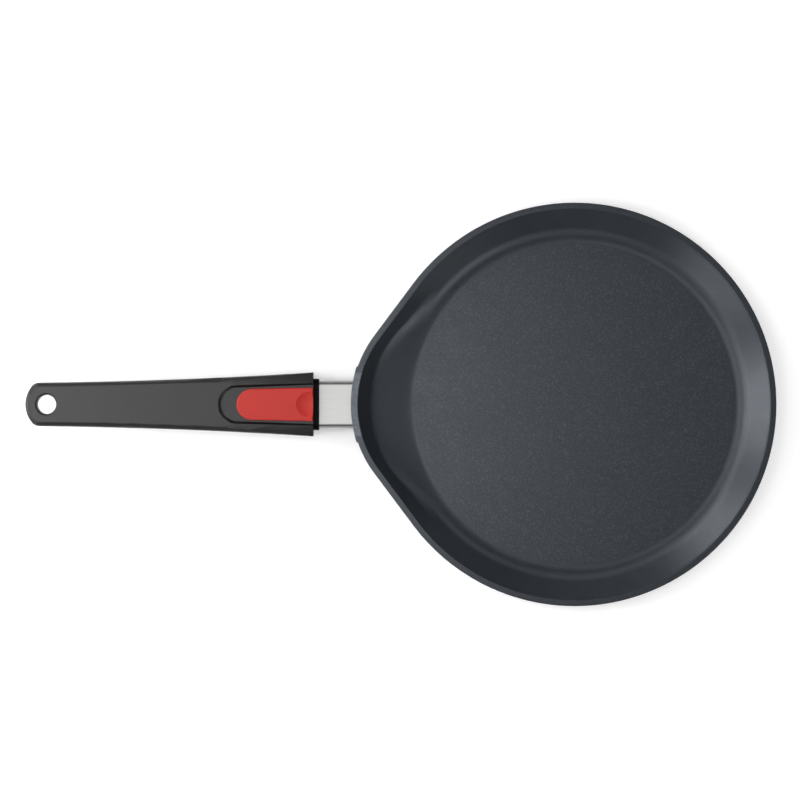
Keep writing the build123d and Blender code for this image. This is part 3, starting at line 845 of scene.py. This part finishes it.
@dataclass
class Handle:
    """The moulded handle, its collar and the latch that it holds."""

    spring_turns: int = 6
    spring_steps: int = 28
    spring_sides: int = 10
    spring_wire: float = 0.0006
    travel: float = 0.010
    leaf_keep: float = 0.5

    def build(self) -> None:
        """Dress the handle's nodes, trace its grip and leaf, and wind its spring."""
        grip = Modeller.trace("handle_grip", "grip_moulding")
        Modeller.dress(grip, GRIP)
        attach(grip, Body.HANDLE.value)
        for node, finish in (
            ("handle_collar", COLLAR),
            ("latch_frame", LATCH_STEEL),
            ("leaf_rivets", BRIGHT_STEEL),
            ("frame_screws", BRIGHT_STEEL),
            ("spring_guide", LATCH_STEEL),
        ):
            Modeller.dress(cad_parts[node], finish)
        self._leaf()
        self._spring()
        log.info("handle dressed")

    def _leaf(self) -> bpy.types.Object:
        """Copy the catch leaf in one shape, though the real slide lifts its nose.

        Returns:
            The leaf.
        """
        piece = Modeller.trace("catch_leaf", "spring_leaf")
        Modeller.dress(piece, BRIGHT_STEEL)
        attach(piece, Body.HANDLE.value)
        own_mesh(piece)
        return piece

    def _spring(self) -> bpy.types.Object:
        """Wind the return spring at one length, though the real one shortens as the button moves.

        Returns:
            The spring.
        """
        low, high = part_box("return_spring")
        radius = (high.y - low.y - self.spring_wire) / 2
        length = high.x - low.x - self.spring_wire
        middle = (low + high) / 2
        Modeller.clear()
        bpy.ops.mesh.primitive_circle_add(
            vertices=self.spring_sides,
            radius=self.spring_wire / 2,
            fill_type="NGON",
            location=(low.x + self.spring_wire / 2, middle.y + radius, middle.z),
        )
        piece = bpy.context.active_object
        bpy.ops.object.transform_apply(location=True, rotation=True)
        bpy.ops.object.mode_set(mode="EDIT")
        bpy.ops.mesh.select_all(action="SELECT")
        steps = self.spring_steps * self.spring_turns
        bpy.ops.mesh.spin(
            steps=steps,
            angle=2 * math.pi * self.spring_turns,
            center=(low.x + self.spring_wire / 2, middle.y, middle.z),
            axis=(1, 0, 0),
            use_auto_merge=False,
        )
        bpy.ops.object.mode_set(mode="OBJECT")
        for index, point in enumerate(piece.data.vertices):
            step = index // self.spring_sides
            point.co.x += length * step / steps
        Modeller.finish(piece, "coil_spring", angle=60.0)
        Modeller.dress(piece, BRIGHT_STEEL)
        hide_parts("return_spring")
        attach(piece, Body.HANDLE.value)
        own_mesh(piece)
        return piece


@dataclass
class Release:
    """The red button and the slide under it."""

    def build(self) -> None:
        """Dress the button's nodes."""
        Modeller.dress(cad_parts["release_button"], BUTTON)
        Modeller.dress(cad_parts["button_slide"], LATCH_STEEL)
        Modeller.dress(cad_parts["button_screws"], BRIGHT_STEEL)
        log.info("button dressed")


@dataclass(frozen=True)
class Lamp:
    """One square soft lamp, turned to the pan."""

    name: str
    place: Colour
    size: float
    watts: float


LAMPS = (
    Lamp("overhead", (0.0, 0.0, 3.4), 1.8, 3.0),
    Lamp("overhead_right", (1.4, 0.0, 2.6), 1.2, 4.4),
    Lamp("over_neck", (-0.22, 0.0, 0.9), 0.3, 1.5),
    Lamp("over_tail", (-0.47, 0.0, 0.5), 0.25, 1.1),
    Lamp("left", (-0.75, 0.0, 0.45), 0.5, 1.2),
    Lamp("left_back", (-0.8, 0.7, 0.8), 0.7, 3.9),
    Lamp("left_front", (-0.8, -0.7, 0.8), 0.7, 1.8),
    Lamp("low_left", (-1.2, 0.0, 0.3), 0.6, 6.9),
    Lamp("low_left_back", (-0.9, 0.8, 0.3), 0.5, 4.2),
    Lamp("low_left_front", (-0.9, -0.8, 0.3), 0.5, 2.8),
    Lamp("back", (0.0, 1.1, 0.7), 0.8, 2.3),
    Lamp("front", (0.0, -1.1, 0.7), 0.8, 2.0),
    Lamp("right", (0.9, 0.0, 0.9), 0.8, 0.6),
    Lamp("right_back", (0.8, 0.8, 0.7), 0.7, 1.8),
    Lamp("right_front", (0.8, -0.8, 0.7), 0.7, 4.7),
)


@dataclass
class Studio:
    """A pale table, soft lamps all round, and a camera straight above."""

    pixels: float = 810.0
    metres_per_pixel: float = 0.0006935
    round_centre: tuple[float, float] = (574.7, 404.4)
    camera_height: float = 3.0
    sensor: float = 36.0
    clip_end: float = 100.0
    table_size: float = 12.0
    table_drop: float = 0.0002
    table_white: Colour = (0.9, 0.9, 0.9)
    table_roughness: float = 0.7
    target: Colour = (-0.03, 0.0, 0.01)
    world_light: float = 0.02
    table_glow: tuple[float, float] = (0.11, 0.42)
    glow_reach: tuple[float, float] = (-0.16, 0.13)
    far_reach: tuple[float, float] = (0.7, 2.2)

    def build(self) -> None:
        """Set the table, the lights and the camera."""
        self._table()
        for lamp in LAMPS:
            self._hang(lamp)
        self._world()
        self._camera()
        bpy.context.scene.view_settings.view_transform = "Standard"

    def _table(self) -> None:
        """A white table top, which glows a little to the camera and more far away."""
        Modeller.clear()
        bpy.ops.mesh.primitive_plane_add(
            size=self.table_size, location=(0, 0, -self.table_drop)
        )
        table = bpy.context.active_object
        table.name = "table"
        bench = Bench("table_white", self.table_white, self.table_roughness)
        bench.shader.inputs["Emission Color"].default_value = (1, 1, 1, 1)
        rays = bench.nodes.new("ShaderNodeLightPath")
        along, across, _ = bench.axes()
        near, far = (reach**2 for reach in self.far_reach)
        far_glow = bench.span(bench.from_axis(along, across), near, far, 0.0, 1.0)
        # The glow to the camera rises from the handle's side to beyond the pan: painted light that
        # evens the white where the lamps light the table less, and stays low by the neck so that
        # its shadow shows.
        level = bench.span(along, *self.glow_reach, *self.table_glow)
        level = bench.sum("ADD", level, far_glow)
        glow = bench.sum("MULTIPLY", level, rays.outputs["Is Camera Ray"])
        bench.links.new(glow, bench.shader.inputs["Emission Strength"])
        table.data.materials.append(bench.material)

    def _hang(self, lamp: Lamp) -> None:
        """Hang one lamp and turn it to the pan."""
        data = bpy.data.lights.new(lamp.name, "AREA")
        data.shape = "SQUARE"
        data.size = lamp.size
        data.energy = lamp.watts
        light = bpy.data.objects.new(lamp.name, data)
        bpy.context.scene.collection.objects.link(light)
        light.location = lamp.place
        way = Vector(self.target) - Vector(lamp.place)
        light.rotation_euler = way.to_track_quat("-Z", "Y").to_euler()

    def _world(self) -> None:
        """A dim room that shows white to the camera."""
        world = bpy.data.worlds.new("room")
        bpy.context.scene.world = world
        world.use_nodes = True
        nodes = world.node_tree.nodes
        links = world.node_tree.links
        background = nodes["Background"]
        background.inputs["Color"].default_value = (1, 1, 1, 1)
        rays = nodes.new("ShaderNodeLightPath")
        level = nodes.new("ShaderNodeMapRange")
        level.inputs["To Min"].default_value = self.world_light
        level.inputs["To Max"].default_value = 1.0
        links.new(rays.outputs["Is Camera Ray"], level.inputs["Value"])
        links.new(level.outputs["Result"], background.inputs["Strength"])

    def _camera(self) -> None:
        """A long lens straight above the middle of the picture."""
        data = bpy.data.cameras.new("camera")
        width = self.pixels * self.metres_per_pixel
        data.sensor_width = self.sensor
        data.lens = self.sensor * self.camera_height / width
        data.clip_end = self.clip_end
        camera = bpy.data.objects.new("camera", data)
        bpy.context.scene.collection.objects.link(camera)
        middle = self.pixels / 2
        camera.location = (
            (middle - self.round_centre[0]) * self.metres_per_pixel,
            (self.round_centre[1] - middle) * self.metres_per_pixel,
            PanCasting.height + self.camera_height,
        )
        bpy.context.scene.camera = camera


def main() -> None:
    """Build every part in order."""
    logging.basicConfig(level=logging.INFO, format="%(name)s: %(message)s")
    PanCasting().build()
    Neck().build()
    Handle().build()
    Release().build()
    Studio().build()


if __name__ == "__main__":
    main()
